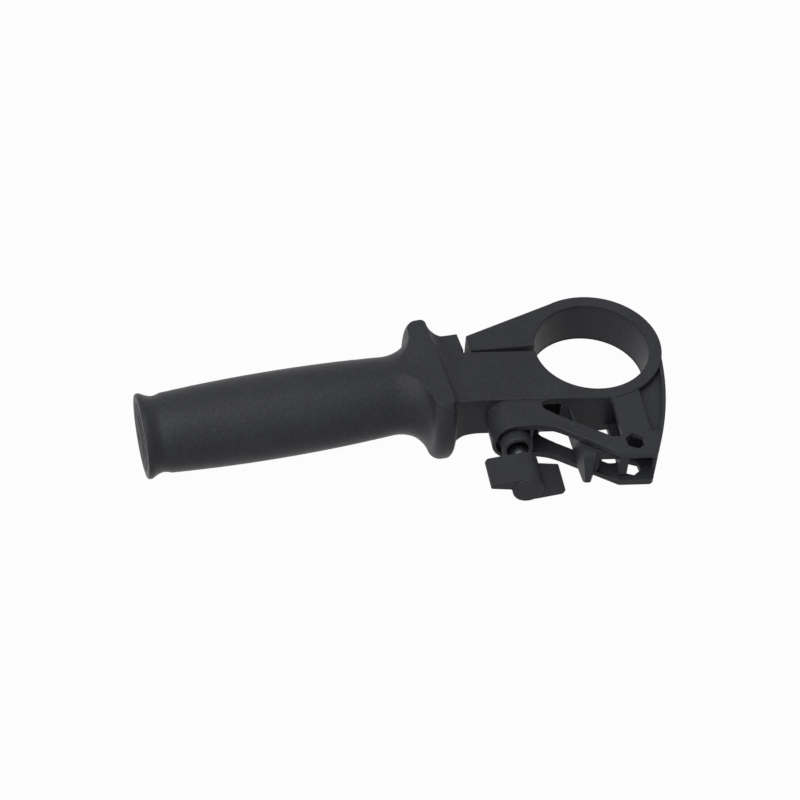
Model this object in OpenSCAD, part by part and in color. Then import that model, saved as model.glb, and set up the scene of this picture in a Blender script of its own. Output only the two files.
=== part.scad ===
// Side handle for a power tool.
// A split ring clamps round the tool's collar, a wing screw closes it, a flanged grip
// sticks out to one side, and a two-plate bracket guides a hexagonal depth rod.
// The origin is the middle of the ring's bore. Z runs along the bore, the split runs
// towards -X, and the wing screw runs along Y with its knob at -Y.

/* [Ring clamp] */
// Bore of the ring, for a tool collar of the same size
collar_d = 43; // [38:0.5:50]
// Wall of the ring round the bore
ring_wall = 4.75; // [3.5:0.25:7]
// Thickness of the ring, neck and bracket along the bore
body_t = 18.2; // [15:0.2:22]
// Distance of the split's fixed side in front of the bore's axis
split_y = 1.7; // [1:0.1:3]
// Width of the split at the tip of the arm
split_tip = 0.9; // [0.6:0.1:1.6]
// Width of the split where it meets the bore
split_root = 2.9; // [1.6:0.1:4]
// Reach of the clamp arm's tip from the bore's axis
arm_reach = 46.8; // [44:0.2:49]
// Gap between the arm's tip and the neck
notch_w = 2.7; // [2.4:0.1:4.2]
// Height of the arm's tip behind the bore's axis
arm_tip_y = 6.6; // [5.5:0.1:9]

/* [Neck and grip] */
// Angle between the split and the grip's centreline
grip_yaw = 10.7; // [6:0.1:14]
// Distance from the bore's axis to the front face of the guard
guard_s = 59.3; // [57:0.1:66]
// Width of the guard's rim along the grip
guard_rim_w = 7.7; // [6.5:0.1:9]
// Diameter of the guard across its round sides
guard_d = 52.6; // [46:0.2:60]
// Height of the guard across its flats
guard_flats = 29.8; // [28:0.2:34]
// Length of the concave sweep from the guard's rim down to the barrel
flare_len = 11.3; // [8:0.1:18]
// Distance from the bore's axis to the end of the grip's rim
grip_end_s = 170.3; // [150:0.5:190]
// Diameter of the barrel at its two slim ends
barrel_d = 29.2; // [27:0.2:31]
// Diameter of the barrel at its widest
swell_d = 32; // [30:0.2:36]
// Diameter at the bottom of the groove before the end rim
groove_d = 27.8; // [26:0.2:30]
// Diameter of the end rim
end_rim_d = 31.2; // [29:0.2:35]
// Length of the groove and the end rim together
end_rim_len = 9; // [7:0.5:12]
// Width of the neck behind the grip's centreline
neck_back = 17; // [14:0.2:19]
// Diameter of the hollow inside the grip
hollow_d = 19; // [14:0.5:20]
// Depth of the hollow from the end rim
hollow_depth = 92; // [60:1:100]

/* [End plug] */
// Diameter of the plug's head
plug_d = 25; // [22:0.2:26]
// Depth of the seat for the plug's head
plug_seat = 3; // [2:0.1:5]
// Rise of the plug's domed face beyond the rim
plug_rise = 0.7; // [0.3:0.1:1.5]
// Length of the plug's skirt inside the hollow
plug_skirt = 9; // [5:0.5:14]
// Wall of the plug's skirt
plug_wall = 1.6; // [1:0.1:2.5]

/* [Bracket] */
// Thickness of each of the bracket's two plates
plate_t = 2.7; // [2.5:0.1:3.2]
// Step from the ring's flat face down to the bracket's plates and boss
plate_step = 0.4; // [0.2:0.1:0.8]
// Wall of the boss round its cored front
boss_wall = 1.4; // [1:0.1:2]
// Depth of the boss's cored front
boss_core = 3; // [2:0.5:8]
// Width of the core hole in the neck's front wall beside the boss
core_w = 11.6; // [6:0.1:12]
// Depth of that core hole
core_d = 7; // [4:0.5:8]
// Distance from the neck's front wall to the boss's front face
boss_len = 12.8; // [10:0.2:16]
// Distance from the neck's front wall to the bracket's front corner
bracket_len = 27.2; // [26:0.1:32]
// Place of the front corner's left end along X
corner_left = 4.4; // [3:0.1:6]
// Place of the front corner's right end along X
corner_right = 17.4; // [16.4:0.1:20]
// Slope of the bracket's front arm, in degrees
arm_slope = 30.5; // [27:0.5:34]
// Width of the front arm
arm_w = 5.8; // [5:0.1:6.4]
// Wall along the bracket's outer side
outer_wall = 1.5; // [1.2:0.1:2.5]
// Bow of the outer side away from a straight line
outer_bow = 2.2; // [0.8:0.1:3]
// Drop of the pocket floor below the plate's face
pocket_drop = 2.4; // [1.8:0.1:2.4]
// Thickness of the pocket floor
pocket_floor = 1.8; // [1.2:0.1:2.5]
// Distance across the flats of the depth rod's hexagonal passage
rod_af = 6.5; // [5.5:0.1:7.5]
// Place of the rod's passage along X
rod_x = 9.4; // [9:0.1:10.5]
// Distance of the rod's passage in front of the neck's front wall
rod_ahead = 20.9; // [20.4:0.1:21.4]
// Turn of the hexagon about its centre, in degrees
rod_turn = -20; // [-30:1:0]

/* [Wing screw] */
// Distance along X from the bore's axis to the screw's, at the boss's front
screw_x = 32.3; // [31.5:0.1:33.5]
// Lean of the screw's axis, which brings its knob nearer to the rod, in degrees
screw_lean = 4.9; // [0:0.1:6]
// Diameter of the threaded stud
stud_d = 6; // [5:0.5:6.5]
// Diameter of the stud's bore through the neck and the arm
stud_bore_d = 6.8; // [6.7:0.1:7.4]
// Diameter of the collar tube that the knob bears on
tube_d = 11.6; // [11:0.1:13]
// Diameter of the collar tube's mouth
tube_bore_d = 8; // [7.5:0.1:9]
// Depth of the wider mouth inside the collar tube
tube_mouth = 9; // [4:0.5:12]
// Length that the collar tube stands proud of the boss
tube_proud = 3.6; // [1:0.1:4]
// Gap between the collar tube and the knob with the clamp open
knob_gap = 6; // [5.8:0.1:9]
// Diameter of the knob's hub
hub_d = 11.6; // [10:0.1:13]
// Length of the knob's hub
hub_len = 13.7; // [10:0.1:16]
// Span of the knob's two wings
wing_span = 28; // [24:0.2:34]
// Length of the wings along the screw
wing_len = 12.6; // [8:0.1:13]
// Distance from the hub's back face to the wings
wing_back = 0.4; // [0.3:0.1:1.6]
// Thickness of a wing near its tip
wing_tip_t = 2.3; // [1.6:0.1:3.2]
// Depth of the stud inside the knob
stud_grip = 9; // [6:0.5:10]
// Width of the nut across its flats
nut_af = 10; // [9:0.1:11]
// Thickness of the nut
nut_t = 5; // [4:0.1:6]
// Plastic left between the split and the nut
nut_land = 3.2; // [2.4:0.1:4]
// Length of the stud that is in the nut with the clamp open
stud_in_nut = 3.6; // [2.5:0.1:4]

/* [Rod catch] */
// Diameter of the catch's pivot hub
catch_hub_d = 5; // [4:0.1:5.6]
// Diameter of the hub's trunnions
trunnion_d = 3; // [2:0.1:3.4]
// Length of each trunnion
trunnion_len = 1.4; // [1:0.1:1.8]
// Place of the pivot along X
pivot_x = -4.1; // [-4.6:0.1:-3.8]
// Distance of the pivot in front of the neck's front wall
pivot_ahead = 20.1; // [19.8:0.1:20.4]
// Thickness of the thumb piece at its nose
nose_t = 3.3; // [2.6:0.1:4]
// Reach of the thumb piece in front of the pivot
nose_reach = 10; // [7:0.1:11]
// Thickness of the spring leaf at its tip
leaf_t = 1; // [0.7:0.1:1.4]
// Width of the pawl's tooth
tooth_w = 3; // [1.8:0.1:3]

/* [Hidden] */

// Clearance between pieces that only have to pass each other
gap = 0.3;
// Clearance round a pin, a stud or a plug in its own seat
fit = 0.05;
// Overlap of solids that are joined into one piece
bite = 0.5;
// Overshoot of a cut beyond the face that it opens
through = 1;
// Depth by which a flat face runs into a round one where the two would only touch
seam = 0.1;
// Segments of a full circle
round_fn = 96;
// Segments of one rounded corner in an outline
corner_steps = 6;

// Levels and faces that several pieces share
half_t = body_t / 2;
bore_r = collar_d / 2;
ring_r = bore_r + ring_wall;
front_y = seam - ring_r;
boss_y = front_y - boss_len;
corner_y = front_y - bracket_len;
tube_y = boss_y - tube_proud;
bracket_z = half_t - plate_step;
plate_z = bracket_z - plate_t;
rod_y = front_y - rod_ahead;
rod_r = rod_af / 2 / cos(30);

function unit(v) = v / norm(v);
function polar(r, a) = [r * cos(a), r * sin(a)];
function wrapped(a) = a > 180 ? a - 360 : a < -180 ? a + 360 : a;
function arc(centre, r, from, to, steps) =
    [for (i = [0 : steps]) centre + polar(r, from + (to - from) * i / steps)];

// The points that round the corner at q, between p and s, to radius r
function corner(p, q, s, r) =
    let (
        to_p = unit(p - q),
        to_s = unit(s - q),
        half = acos(to_p * to_s) / 2,
        centre = q + unit(to_p + to_s) * r / sin(half),
        first = q + to_p * r / tan(half) - centre,
        last = q + to_s * r / tan(half) - centre,
        start = atan2(first.y, first.x),
        sweep = wrapped(atan2(last.y, last.x) - start)
    )
    arc(centre, r, start, start + sweep, corner_steps);

// A closed outline from corners given as [x, y, radius]
function rounded(points) =
    let (n = len(points))
    [for (i = [0 : n - 1])
        let (p = points[(i + n - 1) % n], q = points[i], s = points[(i + 1) % n])
        each q[2] == 0 ? [[q.x, q.y]] : corner([p.x, p.y], [q.x, q.y], [s.x, s.y], q[2])];

module slab(points, low, high)
    translate([0, 0, low]) linear_extrude(high - low) polygon(points);

module both_sides() {
    children();
    mirror([0, 0, 1]) children();
}

// The grip's own directions: s runs along it from the bore, w runs across it, to the back
grip_along = [-cos(grip_yaw), -sin(grip_yaw)];
grip_across = [-sin(grip_yaw), cos(grip_yaw)];
function on_grip(s, w) = s * grip_along + w * grip_across;
module grip_turned() rotate([0, 0, 180 + grip_yaw]) children();
module along_grip(s) grip_turned() translate([s, 0, 0]) rotate([0, 90, 0]) children();

// The screw's own directions: its axis leans, and crosses the boss's front at a right angle
boss_across = [cos(screw_lean), sin(screw_lean)];
function on_boss_front(across) = [-screw_x, boss_y] + across * boss_across;
// Stands a shape that is drawn along +Z on the screw's axis, running to the back
module along_screw(y)
    translate([-screw_x, boss_y, 0]) rotate([0, 0, screw_lean])
        translate([0, y - boss_y, 0]) rotate([-90, 0, 0]) children();

// Grip: a crowned barrel between a flared guard and a small end rim
guard_r = guard_d / 2;
rim_front = 1.8;
rim_back = 4;
front_edge_r = guard_r - rim_front;
back_edge_r = guard_r - rim_back;
barrel_from = guard_s + guard_rim_w + flare_len;
barrel_to = grip_end_s - end_rim_len;
groove_s = barrel_to + 0.3 * end_rim_len;
end_round = 0.8;
end_r = end_rim_d / 2;

function crown(t) = barrel_d / 2 + (swell_d - barrel_d) / 2 * (1 - pow(2 * t - 1, 2));
function flare(a) = [
    back_edge_r - (back_edge_r - barrel_d / 2) * sin(a),
    barrel_from - flare_len * cos(a)
];
function end_sweep(t) = [
    groove_d / 2 + (end_r - groove_d / 2) * (1 - cos(90 * t)),
    groove_s + (grip_end_s - 2 * end_round - groove_s) * t
];

grip_profile = concat(
    [[0, guard_s]],
    arc([front_edge_r, guard_s + rim_front], rim_front, -90, 0, corner_steps),
    arc([back_edge_r, guard_s + guard_rim_w - rim_back], rim_back, 0, 90, corner_steps),
    [for (a = [9 : 9 : 90]) flare(a)],
    [for (i = [1 : 14]) let (t = i / 14) [crown(t), barrel_from + (barrel_to - barrel_from) * t]],
    [[groove_d / 2 + 0.25, (barrel_to + groove_s) / 2]],
    [for (i = [0 : 6]) end_sweep(i / 6)],
    arc([end_r - end_round, grip_end_s - end_round], end_round, 0, 90, corner_steps),
    [[0, grip_end_s]]
);

module grip() {
    difference() {
        along_grip(0) rotate_extrude($fn = round_fn) polygon(grip_profile);
        both_sides() grip_turned()
            translate([guard_s - through, -guard_d, guard_flats / 2])
                cube([guard_rim_w + flare_len + through, 2 * guard_d, guard_d]);
    }
}

module grip_hollow() {
    along_grip(grip_end_s - hollow_depth) cylinder(d = hollow_d, h = hollow_depth + through, $fn = round_fn);
    along_grip(grip_end_s - plug_seat) cylinder(d = plug_d, h = plug_seat + through, $fn = round_fn);
}

// Neck: a flat block from the ring to the guard, which it meets in coves on top and behind
cove_r = front_edge_r - neck_back;
cove_s = guard_s + bite - cove_r;
tip_lean = 1.5;
mouth = [-arm_reach + tip_lean - notch_w, -split_y];
arm_tip = [-arm_reach, arm_tip_y];
arm_heel = [-arm_reach + tip_lean, -split_y + split_tip];
notch_dir = unit(arm_tip - arm_heel);
shoulder = mouth + notch_dir * (neck_back - mouth * grip_across) / (notch_dir * grip_across);
// The front wall bends away slowly to meet the guard
bend_x = -43;
bend_r = 21;
function front_bend(to) = arc([bend_x, front_y - bend_r], bend_r, 125, to, (125 - to) / 5);

module neck_block() {
    slab(concat(
        [[0, front_y], [0, -split_y], mouth, shoulder, on_grip(guard_s + bite, neck_back)],
        front_bend(90)
    ), -half_t, half_t);
}

module neck_coves() {
    intersection() {
        difference() {
            slab(concat(
                [on_grip(cove_s, -neck_back + 2)],
                [for (a = [-90 : 15 : 0]) on_grip(cove_s + cove_r * cos(a), neck_back + cove_r * (1 + sin(a)))],
                front_bend(105)
            ), -guard_flats / 2, guard_flats / 2);
            both_sides() grip_turned()
                translate([cove_s, guard_d, half_t + cove_r - seam]) rotate([90, 0, 0])
                    cylinder(r = cove_r, h = 2 * guard_d, $fn = round_fn);
        }
        along_grip(0) cylinder(r = front_edge_r - seam, h = guard_s + 2 * bite, $fn = round_fn);
    }
}

// Ring and back arm, parted by the split
tip_angle = atan2(arm_tip.y, arm_tip.x);
touch = polar(ring_r - seam, tip_angle - acos(ring_r / norm(arm_tip)));
split_end = [-bore_r + 1, -split_y + split_root];

module ring() cylinder(r = ring_r, h = body_t, center = true, $fn = 2 * round_fn);

module back_arm() {
    slab(rounded([
        [0, 0, 0],
        [touch.x, touch.y, 0],
        [arm_tip.x, arm_tip.y, 0.8],
        [arm_heel.x, arm_heel.y, 0.2],
        [split_end.x, split_end.y, 0]
    ]), -half_t, half_t);
}

module split() {
    slab([
        [-bore_r / 2, -split_y],
        mouth - [through, 0],
        mouth - [through, -split_tip],
        arm_heel,
        split_end,
        split_end + [bore_r / 2, 0]
    ], -half_t - through, half_t + through);
}

// Bracket: two like plates on the neck, a boss at one end and a wall along the other
arm_turn_r = 20;
arm_turn = on_boss_front(4.6) + arm_turn_r * [boss_across.y, -boss_across.x];
arm_front = arc(arm_turn, arm_turn_r, 90 + screw_lean, 90 - arm_slope, 8);
arm_dir = [cos(arm_slope), -sin(arm_slope)];
arm_back = arm_front[8] + arm_w * [sin(arm_slope), cos(arm_slope)];
corner_l = [corner_left, corner_y];
corner_r = [corner_right - 0.6, corner_y];
wall_top = polar(ring_r - bite, -7);
wall_low = [corner_right, corner_y + 2.4];
wall_run = wall_top - wall_low;
wall_half = norm(wall_run) / 2;
wall_out = unit([wall_run.y, -wall_run.x]);
wall_r = (wall_half * wall_half + outer_bow * outer_bow) / (2 * outer_bow);
wall_c = (wall_top + wall_low) / 2 - wall_out * (wall_r - outer_bow);
wall_from = atan2((wall_low - wall_c).y, (wall_low - wall_c).x);
wall_to = atan2((wall_top - wall_c).y, (wall_top - wall_c).x);
ring_mid = bore_r + ring_wall / 2;
strut_edge = corner_right - 1.5;
pocket_end = rod_y + 4.4;
window_end = rod_y + 2.3;

function outer_side(inset) = arc(wall_c, wall_r - inset, wall_from, wall_to, 10);
function outer_x(y, inset) = wall_c.x + sqrt(pow(wall_r - inset, 2) - pow(y - wall_c.y, 2));
function arm_back_x(y) = arm_back.x + (y - arm_back.y) * arm_dir.x / arm_dir.y;

bracket_outline = concat(
    [[on_boss_front(-bite).x, front_y + bite], on_boss_front(-bite)],
    arm_front,
    corner(arm_front[8], corner_l, corner_r, 3),
    corner(corner_l, corner_r, wall_low, 2),
    outer_side(0),
    arc([0, 0], ring_mid, -7, -90, 10)
);
window_outline = rounded([
    [-screw_x + 4.4, front_y, 2.6],
    [corner_left - 0.6, front_y, 0.6],
    [corner_left + 0.7, window_end, 1.6],
    [arm_back_x(window_end), window_end, 2],
    [arm_back_x(front_y - 8), front_y - 8, 3]
]);
pocket_outline = concat(
    [[strut_edge - 1.4, front_y + 3], [strut_edge, pocket_end], [outer_x(pocket_end, outer_wall), pocket_end]],
    [for (p = outer_side(outer_wall)) if (p.y > pocket_end) p],
    [polar(ring_mid, -20), polar(ring_mid, -50)]
);

module bracket_plate() {
    difference() {
        slab(bracket_outline, plate_z, bracket_z);
        slab(window_outline, plate_z - through, bracket_z + through);
        slab(pocket_outline, plate_z - through, bracket_z + through);
        translate([rod_x, rod_y, plate_z - through]) rotate([0, 0, rod_turn])
            cylinder(r = rod_r, h = plate_t + 2 * through, $fn = 6);
    }
    slab(pocket_outline, bracket_z - pocket_drop - pocket_floor, bracket_z - pocket_drop);
}

module outer_rib() {
    slab(concat(
        outer_side(0),
        [for (i = [10 : -1 : 0]) outer_side(outer_wall)[i]]
    ), -bracket_z, bracket_z);
}

// Boss round the screw: half round at the neck's side, flat towards the window, cored from the front
tube_r = tube_d / 2;
boss_side = -screw_x + tube_r + gap;
module boss() {
    depth = front_y + bite - boss_y + bracket_z * tan(screw_lean);
    difference() {
        intersection() {
            along_screw(boss_y) cylinder(r = bracket_z + seam, h = depth, $fn = round_fn);
            translate([boss_side - 2 * body_t, boss_y - through, -bracket_z])
                cube([2 * body_t, depth + 2 * through, 2 * bracket_z]);
        }
        difference() {
            along_screw(boss_y - through)
                cylinder(r = bracket_z - boss_wall, h = boss_core + through, $fn = round_fn);
            translate([boss_side - boss_wall, boss_y - 2 * through, -body_t])
                cube([body_t, boss_core + 4 * through, 2 * body_t]);
        }
    }
    lip = 0.9;
    along_screw(tube_y) rotate_extrude($fn = round_fn) polygon(concat(
        [[0, 0]],
        arc([tube_r - lip, lip], lip, -90, 0, corner_steps),
        [[tube_r, front_y + bite - tube_y], [0, front_y + bite - tube_y]]
    ));
}

// Places along the screw
hub_y = tube_y - knob_gap - hub_len;
split_slope = (split_root - split_tip) / (split_end.x - arm_heel.x);
nut_y = -split_y + split_tip + split_slope * (-screw_x - arm_heel.x) + nut_land;
nut_slack = 0.1;
stud_from = hub_y + hub_len - stud_grip;
stud_to = nut_y + stud_in_nut;

module hexagon_along_screw(y, across, h)
    along_screw(y) cylinder(r = across / 2 / cos(30), h = h, $fn = 6);

// Catch: places in plan
pivot = [pivot_x, front_y - pivot_ahead];
catch_z = plate_z - gap;
hub_r = catch_hub_d / 2;
nose_x = pivot_x - 4.8;
nose_y = pivot.y - nose_reach;
leaf_y = front_y - 2.2;
leaf_x = nose_x - 2.6;
mid_y = (leaf_y + pivot.y) / 2;
pawl_x = rod_x - rod_r - gap;
tooth_y = rod_y - rod_af / 2;
pawl_t = 1.3;

module handle_body() color("#37383d") {
    difference() {
        union() {
            ring();
            back_arm();
            neck_block();
            neck_coves();
            grip();
            boss();
            outer_rib();
            both_sides() bracket_plate();
        }
        cylinder(r = bore_r, h = body_t + 2 * through, center = true, $fn = 2 * round_fn);
        split();
        grip_hollow();
        // Core hole in the front wall, beside the boss
        translate([boss_side, front_y - bite, -plate_z]) cube([core_w, core_d + bite, 2 * plate_z]);
        // Way of the stud, its mouth, and the nut's seat in the back arm
        along_screw(tube_y - through) cylinder(d = stud_bore_d, h = nut_y - tube_y + 2 * through, $fn = round_fn);
        along_screw(tube_y - through) cylinder(d = tube_bore_d, h = tube_mouth + through, $fn = round_fn);
        hexagon_along_screw(nut_y, nut_af + 2 * nut_slack, ring_r);
        // Blind seats of the catch's trunnions
        both_sides() translate([pivot.x, pivot.y, plate_z - bite])
            cylinder(d = trunnion_d + 2 * fit, h = bite + trunnion_len - gap + 2 * fit, $fn = round_fn);
    }
}

module grip_end_plug() color("#2f3034") {
    head_r = plug_d / 2 - fit;
    skirt_r = hollow_d / 2 - fit;
    seat_s = grip_end_s - plug_seat;
    dome_r = (head_r * head_r + plug_rise * plug_rise) / (2 * plug_rise);
    dome_a = asin(head_r / dome_r);
    along_grip(0) rotate_extrude($fn = round_fn) polygon(concat(
        [
            [0, seat_s], [skirt_r - plug_wall, seat_s], [skirt_r - plug_wall, seat_s - plug_skirt],
            [skirt_r, seat_s - plug_skirt], [skirt_r, seat_s], [head_r, seat_s]
        ],
        arc([0, grip_end_s + plug_rise - dome_r], dome_r, 90 - dome_a, 90, 8)
    ));
}

module wing() {
    tip_x = wing_span / 2;
    root = hub_d / 2;
    linear_extrude(wing_len) polygon(rounded([
        [0, 0, 0],
        [0, root, 0],
        [root * 0.6, root, 4],
        [tip_x - 0.8, root - 1.4, 1.2],
        [tip_x, root - 1.4 - wing_tip_t, 0.6],
        [root + 0.7, 0.6, 1.5],
        [root - 1, 0, 0]
    ]));
}

module wing_knob() color("#333439") {
    edge = 0.5;
    difference() {
        along_screw(hub_y) {
            rotate_extrude($fn = round_fn) polygon([
                [0, 0], [hub_d / 2 - edge, 0], [hub_d / 2, edge], [hub_d / 2, hub_len], [0, hub_len]
            ]);
            translate([0, 0, hub_len - wing_len - wing_back]) {
                wing();
                rotate([0, 0, 180]) wing();
            }
        }
        along_screw(stud_from - gap)
            cylinder(d = stud_d + 2 * fit, h = stud_grip + gap + through, $fn = round_fn);
    }
}

module clamp_stud() color("#b9bcc2") {
    chamfer = 0.7;
    stud_r = stud_d / 2;
    run = stud_to - stud_from;
    along_screw(stud_from) rotate_extrude($fn = round_fn) polygon([
        [0, 0], [stud_r, 0], [stud_r, run - chamfer], [stud_r - chamfer, run], [0, run]
    ]);
}

module clamp_nut() color("#a9acb2") {
    difference() {
        hexagon_along_screw(nut_y, nut_af, nut_t);
        along_screw(nut_y - through) cylinder(d = stud_d + 2 * fit, h = nut_t + 2 * through, $fn = round_fn);
    }
}

// Thumb piece and spring leaf, seen along the bore
thumb_outline = rounded([
    [leaf_x - leaf_t / 2, leaf_y, 0.3],
    [leaf_x + leaf_t / 2, leaf_y, 0.3],
    [nose_x - 0.9, mid_y, 8],
    [nose_x + nose_t / 2, pivot.y + hub_r, 2],
    [pivot.x - 0.4, pivot.y - hub_r - 0.8, 0.8],
    [nose_x + nose_t / 2, nose_y, 0.8],
    [nose_x + 0.1, nose_y, 0.8],
    [nose_x - 1.3, pivot.y - 1, 6],
    [leaf_x + 0.6, mid_y, 8]
]);

module catch_lever() color("#3a3b40") {
    // Seen from the side, the thumb piece slopes forward to a tip near its underside
    intersection() {
        slab(thumb_outline, -catch_z, catch_z);
        translate([nose_x - body_t, 0, 0]) rotate([90, 0, 90]) linear_extrude(2 * body_t) polygon(rounded([
            [nose_y + 2.4, -catch_z, 2],
            [leaf_y + through, -catch_z, 0],
            [leaf_y + through, catch_z, 0],
            [nose_y + 5.6, catch_z, 3],
            [nose_y, -catch_z + 2.4, 1.2]
        ]));
    }
    slab([
        [nose_x, pivot.y - 1.4],
        [pivot.x, pivot.y - hub_r + 0.4],
        [pivot.x, pivot.y + 1.4],
        [nose_x, pivot.y + 2]
    ], -catch_z, catch_z);
    translate([pivot.x, pivot.y, -catch_z]) cylinder(r = hub_r, h = 2 * catch_z, $fn = round_fn);
    both_sides() translate([pivot.x, pivot.y, catch_z - bite])
        cylinder(d = trunnion_d, h = bite + trunnion_len, $fn = round_fn);
    // Pawl: a strip from the hub that ends in a tooth in front of the rod
    slab([
        [pivot.x, pivot.y - hub_r],
        [pawl_x, pivot.y - hub_r],
        [pawl_x, pivot.y - hub_r + 1.6],
        [pivot.x, pivot.y - hub_r + 1.6]
    ], 0.6, catch_z);
    slab([
        [pawl_x - pawl_t, tooth_y - pawl_t],
        [pawl_x - pawl_t + tooth_w, tooth_y - pawl_t],
        [pawl_x - pawl_t + tooth_w, tooth_y],
        [pawl_x, tooth_y],
        [pawl_x, pivot.y - hub_r + 1.6],
        [pawl_x - pawl_t, pivot.y - hub_r + 1.6]
    ], -catch_z + 1, catch_z);
}

handle_body();
grip_end_plug();
wing_knob();
clamp_stud();
clamp_nut();
catch_lever();
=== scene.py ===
import math

import bmesh
import bpy
from mathutils import Matrix, Vector


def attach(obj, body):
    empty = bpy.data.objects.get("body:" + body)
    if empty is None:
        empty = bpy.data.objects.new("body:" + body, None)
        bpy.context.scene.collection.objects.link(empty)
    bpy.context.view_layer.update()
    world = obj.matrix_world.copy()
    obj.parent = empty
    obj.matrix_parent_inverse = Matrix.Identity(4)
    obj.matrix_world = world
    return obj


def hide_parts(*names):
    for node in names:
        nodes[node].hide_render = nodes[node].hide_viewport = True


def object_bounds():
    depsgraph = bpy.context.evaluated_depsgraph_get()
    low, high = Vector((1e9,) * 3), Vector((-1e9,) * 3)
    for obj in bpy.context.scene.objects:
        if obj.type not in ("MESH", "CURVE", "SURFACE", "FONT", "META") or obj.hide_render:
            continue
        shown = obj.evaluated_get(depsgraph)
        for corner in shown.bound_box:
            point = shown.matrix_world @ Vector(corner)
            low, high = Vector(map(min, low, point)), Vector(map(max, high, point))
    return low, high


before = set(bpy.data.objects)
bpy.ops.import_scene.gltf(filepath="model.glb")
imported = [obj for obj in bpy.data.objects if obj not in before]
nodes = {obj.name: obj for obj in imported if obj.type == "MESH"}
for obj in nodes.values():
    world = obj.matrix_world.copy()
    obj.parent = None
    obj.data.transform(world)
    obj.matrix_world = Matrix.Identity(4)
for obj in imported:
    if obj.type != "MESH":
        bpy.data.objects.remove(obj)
cad_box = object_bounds()

# Handle moulding
# Ring clamp, neck, guard, grip and rod bracket come out of one mould, in black nylon filled with
# glass. The mould's edges are broken by a third of a millimetre, and its walls are spark-eroded,
# so the skin has a fine even grain and a faint pale mottle.
weld_gap = 2e-6
sharp_corner = math.radians(30)


def shell_of(node, name):
    """A piece with the node's own shape, joined into one skin, its outer edges marked for rounding."""
    mesh = bpy.data.meshes.new(name)
    bm = bmesh.new()
    bm.from_mesh(nodes[node].data)
    bmesh.ops.remove_doubles(bm, verts=bm.verts, dist=weld_gap)
    broken = bm.edges.layers.float.new("bevel_weight_edge")
    for edge in bm.edges:
        edge.smooth = edge.calc_face_angle(0) < sharp_corner
        if not edge.smooth and edge.is_convex:
            edge[broken] = 1.0
    for face in bm.faces:
        face.smooth = True
    bm.to_mesh(mesh)
    bm.free()
    piece = bpy.data.objects.new(name, mesh)
    bpy.context.scene.collection.objects.link(piece)
    return piece


def break_edges(piece, width, steps=2):
    """Rounds the moulded edges and keeps the flat faces flat in the shading."""
    rounding = piece.modifiers.new("broken_edges", "BEVEL")
    rounding.width = width
    rounding.segments = steps
    rounding.limit_method = "WEIGHT"
    rounding.use_clamp_overlap = False
    rounding.loop_slide = False
    rounding.harden_normals = True
    flatness = piece.modifiers.new("flat_faces", "WEIGHTED_NORMAL")
    flatness.keep_sharp = True


def moulded_plastic(name, black, roughness, grain, grain_depth):
    """Black moulded plastic: spark-eroded grain, a slow drift in tone, and a fine pale mottle."""
    mat = bpy.data.materials.new(name)
    mat.use_nodes = True
    nt = mat.node_tree
    skin = nt.nodes["Principled BSDF"]
    skin.inputs["Specular IOR Level"].default_value = 0.15
    coords = nt.nodes.new("ShaderNodeTexCoord")

    def noise(scale, detail, rough=0.5):
        node = nt.nodes.new("ShaderNodeTexNoise")
        node.inputs["Scale"].default_value = scale
        node.inputs["Detail"].default_value = detail
        node.inputs["Roughness"].default_value = rough
        nt.links.new(coords.outputs["Object"], node.inputs["Vector"])
        return node

    drift = noise(38.0, 3.0)
    tone = nt.nodes.new("ShaderNodeValToRGB")
    tone.color_ramp.elements[0].position = 0.32
    tone.color_ramp.elements[0].color = [c * 0.86 for c in black] + [1]
    tone.color_ramp.elements[1].position = 0.68
    tone.color_ramp.elements[1].color = [c * 1.12 for c in black] + [1]
    nt.links.new(drift.outputs["Fac"], tone.inputs["Fac"])

    mottle = noise(grain * 0.7, 4.0, 0.6)
    pale = nt.nodes.new("ShaderNodeMapRange")
    pale.inputs["From Min"].default_value = 0.42
    pale.inputs["From Max"].default_value = 0.72
    pale.inputs["To Max"].default_value = 0.06
    nt.links.new(mottle.outputs["Fac"], pale.inputs["Value"])
    mix = nt.nodes.new("ShaderNodeMix")
    mix.data_type = "RGBA"
    nt.links.new(pale.outputs["Result"], mix.inputs["Factor"])
    nt.links.new(tone.outputs["Color"], mix.inputs["A"])
    mix.inputs["B"].default_value = (0.22, 0.225, 0.24, 1)
    nt.links.new(mix.outputs["Result"], skin.inputs["Base Color"])

    gloss = nt.nodes.new("ShaderNodeMapRange")
    gloss.inputs["From Min"].default_value = 0.3
    gloss.inputs["From Max"].default_value = 0.7
    gloss.inputs["To Min"].default_value = roughness - 0.05
    gloss.inputs["To Max"].default_value = roughness + 0.05
    nt.links.new(drift.outputs["Fac"], gloss.inputs["Value"])
    nt.links.new(gloss.outputs["Result"], skin.inputs["Roughness"])

    fine = noise(grain, 3.0, 0.7)
    bump = nt.nodes.new("ShaderNodeBump")
    bump.name = "grain"
    bump.inputs["Strength"].default_value = 0.3
    bump.inputs["Distance"].default_value = grain_depth
    nt.links.new(fine.outputs["Fac"], bump.inputs["Height"])
    nt.links.new(bump.outputs["Normal"], skin.inputs["Normal"])
    return mat


glass_filled_nylon = moulded_plastic("glass_filled_nylon", (0.0305, 0.0315, 0.0360), 0.45, 1300.0, 0.00012)
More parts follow.
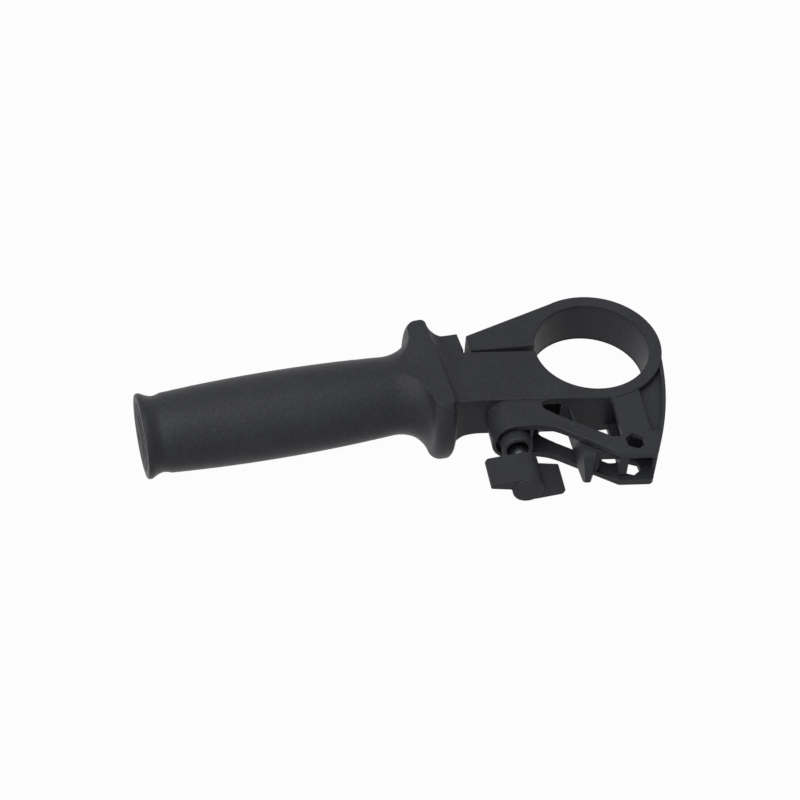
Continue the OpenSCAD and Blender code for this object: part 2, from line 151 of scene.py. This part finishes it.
# The grip is grained more deeply than the clamp: the grain deepens from the neck into the grip
nt = glass_filled_nylon.node_tree
coords = nt.nodes.new("ShaderNodeTexCoord")
place = nt.nodes.new("ShaderNodeSeparateXYZ")
deeper = nt.nodes.new("ShaderNodeMapRange")
deeper.inputs["From Min"].default_value = -0.056
deeper.inputs["From Max"].default_value = -0.066
deeper.inputs["To Min"].default_value = 0.16
deeper.inputs["To Max"].default_value = 0.75
nt.links.new(coords.outputs["Object"], place.inputs["Vector"])
nt.links.new(place.outputs["X"], deeper.inputs["Value"])
nt.links.new(deeper.outputs["Result"], nt.nodes["grain"].inputs["Strength"])
handle = shell_of("handle_body", "handle_moulding")
bore_r = 0.0215
wall_slack = 5e-5
bm = bmesh.new()
bm.from_mesh(handle.data)


def on_bore(vert):
    return abs(vert.co.xy.length - bore_r) < wall_slack


# A fine groove runs under each rim of the bore, and the mould's parting line round its middle
rim_groove = (0.00030, 0.00028)
parting_line = (0.00012, 0.00008)
rim_height = 0.0082
for height, (half, depth) in ((rim_height, rim_groove), (-rim_height, rim_groove), (0.0, parting_line)):
    for z in (height - half, height, height + half):
        wall = [f for f in bm.faces if all(on_bore(v) for v in f.verts)]
        rim = list({e for f in wall for e in f.edges})
        ends = list({v for f in wall for v in f.verts})
        bmesh.ops.bisect_plane(bm, geom=ends + rim + wall, dist=1e-8, plane_co=(0, 0, z), plane_no=(0, 0, 1))
    for vert in bm.verts:
        if on_bore(vert) and abs(vert.co.z - height) < 1e-7:
            vert.co.xy = vert.co.xy * (1 + depth / bore_r)
bm.to_mesh(handle.data)
bm.free()
mould_edge = 0.00032
break_edges(handle, mould_edge)
handle.data.materials.append(glass_filled_nylon)
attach(handle, "handle")
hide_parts("handle_body")

# Grip end plug
# A thin domed cap in a slightly duller black closes the hollow grip. Its skirt is pressed into the
# hollow, and a shallow ring and a gate mark are left on its face by the mould.
grip_yaw = math.radians(10.7)
along = Vector((-math.cos(grip_yaw), -math.sin(grip_yaw), 0))
across = Vector((-math.sin(grip_yaw), math.cos(grip_yaw), 0))


def turned(name, profile, base, axis, side, steps):
    """A piece turned about an axis from a profile of (distance along the axis, radius), in millimetres."""
    bm = bmesh.new()
    points = [bm.verts.new(base + axis * (a / 1000) + side * (r / 1000)) for a, r in profile]
    edges = [bm.edges.new(pair) for pair in zip(points, points[1:])]
    bmesh.ops.spin(bm, geom=points + edges, cent=base, axis=axis, angle=2 * math.pi, steps=steps, use_merge=True)
    bmesh.ops.remove_doubles(bm, verts=bm.verts, dist=weld_gap)
    bmesh.ops.recalc_face_normals(bm, faces=bm.faces)
    for face in bm.faces:
        face.smooth = True
    mesh = bpy.data.meshes.new(name)
    bm.to_mesh(mesh)
    bm.free()
    piece = bpy.data.objects.new(name, mesh)
    bpy.context.scene.collection.objects.link(piece)
    return piece


cap_back = 167.3
skirt_end = 158.3
skirt_r = 9.45
skirt_inner_r = 7.85
skirt = [(cap_back, 0.0), (cap_back, skirt_inner_r), (skirt_end + 0.1, skirt_inner_r), (skirt_end, 7.95)]
skirt += [(skirt_end, 9.3), (skirt_end + 0.2, skirt_r), (cap_back, skirt_r)]
cap_rim = [(cap_back, 12.4), (170.15, 12.45), (170.32, 12.3)]
shallow_ring = [(170.47, 10.8), (170.62, 9.0), (170.42, 8.8), (170.42, 8.3), (170.68, 8.1)]
dome_and_gate = [(170.8, 6.4), (170.92, 4.0), (170.98, 1.6), (170.7, 1.35), (170.7, 0.0)]
plug_profile = skirt + cap_rim + shallow_ring + dome_and_gate
plug = turned("grip_end_plug_cap", plug_profile, Vector((0, 0, 0)), along, across, 96)
plug_plastic = moulded_plastic("plug_plastic", (0.0240, 0.0250, 0.0285), 0.60, 1300.0, 0.00010)
plug.data.materials.append(plug_plastic)
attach(plug, "handle")
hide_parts("grip_end_plug")

# Clamp stud
# A zinc-plated M6 stud runs from the knob through the neck and the split to the nut in the back
# arm. Its thread is rolled, one millimetre to a turn, and the shank near the knob stays plain.
screw_lean = math.radians(4.9)
screw_dir = Vector((-math.sin(screw_lean), math.cos(screw_lean), 0))
screw_foot = Vector((-0.0323, -0.03895, 0))
upright = Vector((0, 0, 1))
reach = [(v.co - screw_foot).dot(screw_dir) * 1000 for v in nodes["clamp_stud"].data.vertices]
stud_start = min(reach)
stud_stop = max(reach)
core_r = 2.48
shank_r = 2.95
shank_len = 17.0
thread_from = 17.7
runout = 1.7
stud = turned(
    "clamp_stud_threaded",
    [
        (stud_start, 0.0),
        (stud_start, 2.8),
        (stud_start + 0.15, shank_r),
        (stud_start + shank_len, shank_r),
        (stud_start + shank_len + 0.5, core_r),
        (stud_stop - 0.9, core_r),
        (stud_stop, 1.9),
        (stud_stop, 0.0),
    ],
    screw_foot,
    screw_dir,
    upright,
    48,
)
pitch = 0.001
turns = int(stud_stop - stud_start - thread_from - runout)
steps_a_turn = 24
bm = bmesh.new()
crest_r = 2.96
ridge = [(-0.44, 2.3), (-0.40, 2.52), (-0.07, crest_r), (0.07, crest_r), (0.40, 2.52), (0.44, 2.3)]
loop = [
    bm.verts.new(screw_foot + screw_dir * ((stud_start + thread_from + a) / 1000) + upright * (r / 1000))
    for a, r in ridge
]
rim = [bm.edges.new((loop[i], loop[(i + 1) % len(loop)])) for i in range(len(loop))]
bm.faces.new(loop)
wound = bmesh.ops.spin(
    bm,
    geom=loop + rim,
    cent=screw_foot,
    axis=screw_dir,
    dvec=screw_dir * (pitch / steps_a_turn),
    angle=2 * math.pi * turns,
    steps=steps_a_turn * turns,
)
last = [v for v in wound["geom_last"] if isinstance(v, bmesh.types.BMVert)]
bm.faces.new(last)
bmesh.ops.recalc_face_normals(bm, faces=bm.faces)
for face in bm.faces:
    face.smooth = len(face.verts) == 4
thread_mesh = bpy.data.meshes.new("thread")
bm.to_mesh(thread_mesh)
bm.free()
bm = bmesh.new()
bm.from_mesh(stud.data)
bm.from_mesh(thread_mesh)
bm.to_mesh(stud.data)
bm.free()
bpy.data.meshes.remove(thread_mesh)


def plated_steel(name, tint, roughness):
    """Bright zinc plate over steel, with duller clouds in it."""
    mat = bpy.data.materials.new(name)
    mat.use_nodes = True
    nt = mat.node_tree
    skin = nt.nodes["Principled BSDF"]
    skin.inputs["Metallic"].default_value = 1.0
    coords = nt.nodes.new("ShaderNodeTexCoord")
    clouds = nt.nodes.new("ShaderNodeTexNoise")
    clouds.inputs["Scale"].default_value = 260.0
    clouds.inputs["Detail"].default_value = 4.0
    nt.links.new(coords.outputs["Object"], clouds.inputs["Vector"])
    tone = nt.nodes.new("ShaderNodeValToRGB")
    tone.color_ramp.elements[0].position = 0.35
    tone.color_ramp.elements[0].color = [c * 0.7 for c in tint] + [1]
    tone.color_ramp.elements[1].position = 0.7
    tone.color_ramp.elements[1].color = list(tint) + [1]
    nt.links.new(clouds.outputs["Fac"], tone.inputs["Fac"])
    nt.links.new(tone.outputs["Color"], skin.inputs["Base Color"])
    gloss = nt.nodes.new("ShaderNodeMapRange")
    gloss.inputs["To Min"].default_value = roughness - 0.08
    gloss.inputs["To Max"].default_value = roughness + 0.12
    nt.links.new(clouds.outputs["Fac"], gloss.inputs["Value"])
    nt.links.new(gloss.outputs["Result"], skin.inputs["Roughness"])
    return mat


zinc_steel = plated_steel("zinc_steel", (0.52, 0.54, 0.58), 0.24)
stud.data.materials.append(zinc_steel)
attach(stud, "screw")
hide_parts("clamp_stud")

# Clamp nut
# A plain M6 hexagon nut sits in a hexagonal seat in the back arm, where it can't turn. Its corners
# are chamfered. It shows only through the open back of the seat.
nut = shell_of("clamp_nut", "clamp_nut_hex")
nut_edge = 0.00035
break_edges(nut, nut_edge)
nut.data.materials.append(zinc_steel)
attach(nut, "handle")
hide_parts("clamp_nut")

# Wing knob
# Hub and two wings are moulded round the stud's head in one shot. Seen along the screw the wings
# make an S, so a finger and a thumb push on their flat faces. All of its edges are well rounded.
knob = shell_of("wing_knob", "wing_knob_moulding")
knob_edge = 0.00045
break_edges(knob, knob_edge, 3)
knob_plastic = moulded_plastic("knob_plastic", (0.0310, 0.0320, 0.0366), 0.50, 1600.0, 0.00005)
knob.data.materials.append(knob_plastic)
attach(knob, "knob")
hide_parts("wing_knob")

# Rod catch
# Thumb piece, spring leaf, pivot and pawl are one small moulding, snapped between the plates by its
# two trunnions. The leaf bears on the neck and keeps the pawl's tooth on the depth rod.
catch = shell_of("catch_lever", "rod_catch_moulding")
catch_edge = 0.00022
break_edges(catch, catch_edge)
catch.data.materials.append(knob_plastic)
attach(catch, "catch")
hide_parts("catch_lever")

# Stage
# A pale sheet lies just under the handle, in open white surroundings. Three large soft lamps and a
# sky that is brightest overhead light it, and the camera stands where the photograph's stood.
floor_gap = 0.00005
floor_white = 0.97
floor_bm = bmesh.new()
bmesh.ops.create_grid(floor_bm, x_segments=1, y_segments=1, size=3.0)
bmesh.ops.translate(floor_bm, vec=(0, 0, cad_box[0][2] - floor_gap), verts=floor_bm.verts)
floor_mesh = bpy.data.meshes.new("floor")
floor_bm.to_mesh(floor_mesh)
floor_bm.free()
floor = bpy.data.objects.new("floor", floor_mesh)
bpy.context.scene.collection.objects.link(floor)
sheet = bpy.data.materials.new("pale_sheet")
sheet.use_nodes = True
nt = sheet.node_tree
nt.nodes.clear()
out = nt.nodes.new("ShaderNodeOutputMaterial")
paper = nt.nodes.new("ShaderNodeBsdfDiffuse")
paper.inputs["Color"].default_value = (0.34, 0.34, 0.35, 1)
glow = nt.nodes.new("ShaderNodeEmission")
glow.inputs["Color"].default_value = (1, 1, 1, 1)


def shown_rays(nt):
    """1 for the rays that show the white surroundings: straight to the camera, mirrored or let through."""
    path = nt.nodes.new("ShaderNodeLightPath")
    total = path.outputs["Is Camera Ray"]
    for kind in ("Is Glossy Ray", "Is Transmission Ray"):
        either = nt.nodes.new("ShaderNodeMath")
        either.operation = "MAXIMUM"
        nt.links.new(total, either.inputs[0])
        nt.links.new(path.outputs[kind], either.inputs[1])
        total = either.outputs["Value"]
    return total


share = nt.nodes.new("ShaderNodeMath")
share.operation = "MULTIPLY"
share.inputs[1].default_value = floor_white
blend = nt.nodes.new("ShaderNodeMixShader")
nt.links.new(shown_rays(nt), share.inputs[0])
nt.links.new(share.outputs["Value"], blend.inputs["Fac"])
nt.links.new(paper.outputs["BSDF"], blend.inputs[1])
nt.links.new(glow.outputs["Emission"], blend.inputs[2])
nt.links.new(blend.outputs["Shader"], out.inputs["Surface"])
floor.data.materials.append(sheet)

world = bpy.data.worlds.new("open_white")
bpy.context.scene.world = world
world.use_nodes = True
nt = world.node_tree
nt.nodes.clear()
out = nt.nodes.new("ShaderNodeOutputWorld")
seen = nt.nodes.new("ShaderNodeBackground")
seen.inputs["Strength"].default_value = 1.0
lit = nt.nodes.new("ShaderNodeBackground")
lit.inputs["Color"].default_value = (0.93, 0.95, 1.0, 1)
toward = nt.nodes.new("ShaderNodeTexCoord")
split = nt.nodes.new("ShaderNodeSeparateXYZ")
overhead = nt.nodes.new("ShaderNodeMapRange")
overhead.inputs["From Min"].default_value = 0.20
overhead.inputs["From Max"].default_value = 0.95
overhead.inputs["To Min"].default_value = 0.02
overhead.inputs["To Max"].default_value = 0.32
nt.links.new(toward.outputs["Generated"], split.inputs["Vector"])
nt.links.new(split.outputs["Z"], overhead.inputs["Value"])
nt.links.new(overhead.outputs["Result"], lit.inputs["Strength"])
blend = nt.nodes.new("ShaderNodeMixShader")
nt.links.new(shown_rays(nt), blend.inputs["Fac"])
nt.links.new(lit.outputs["Background"], blend.inputs[1])
nt.links.new(seen.outputs["Background"], blend.inputs[2])
nt.links.new(blend.outputs["Shader"], out.inputs["Surface"])


def softbox(name, place, size, power):
    """A large soft lamp that faces the middle of the handle."""
    lamp = bpy.data.lights.new(name, "AREA")
    lamp.shape = "RECTANGLE"
    lamp.size, lamp.size_y = size
    lamp.energy = power
    obj = bpy.data.objects.new(name, lamp)
    obj.location = place
    obj.rotation_euler = (handle_middle - Vector(place)).to_track_quat("-Z", "Y").to_euler()
    bpy.context.scene.collection.objects.link(obj)


handle_middle = Vector((-0.06, -0.02, 0))
softbox("above", (-0.25, -0.20, 0.95), (0.8, 0.8), 4.4)
softbox("left", (-0.80, -0.40, 0.60), (0.6, 0.6), 3.5)
softbox("front", (-0.35, -0.75, 0.60), (0.9, 0.6), 1.4)

camera_data = bpy.data.cameras.new("camera")
camera_data.sensor_width = 36.0
camera_data.lens = 95.7
camera_data.clip_start = 0.01
camera = bpy.data.objects.new("camera", camera_data)
camera_place = (-0.144933, -0.544453, 0.572547)
right = Vector((0.99544687, -0.08004065, 0.0517592))
up = Vector((0.02367055, 0.73358684, 0.67918338))
back = Vector((-0.09233214, -0.6748658, 0.73214133))
turn = Matrix((right, up, back)).transposed().to_4x4()
camera.matrix_world = Matrix.Translation(camera_place) @ turn
bpy.context.scene.collection.objects.link(camera)
bpy.context.scene.camera = camera
bpy.context.scene.view_settings.view_transform = "Standard"
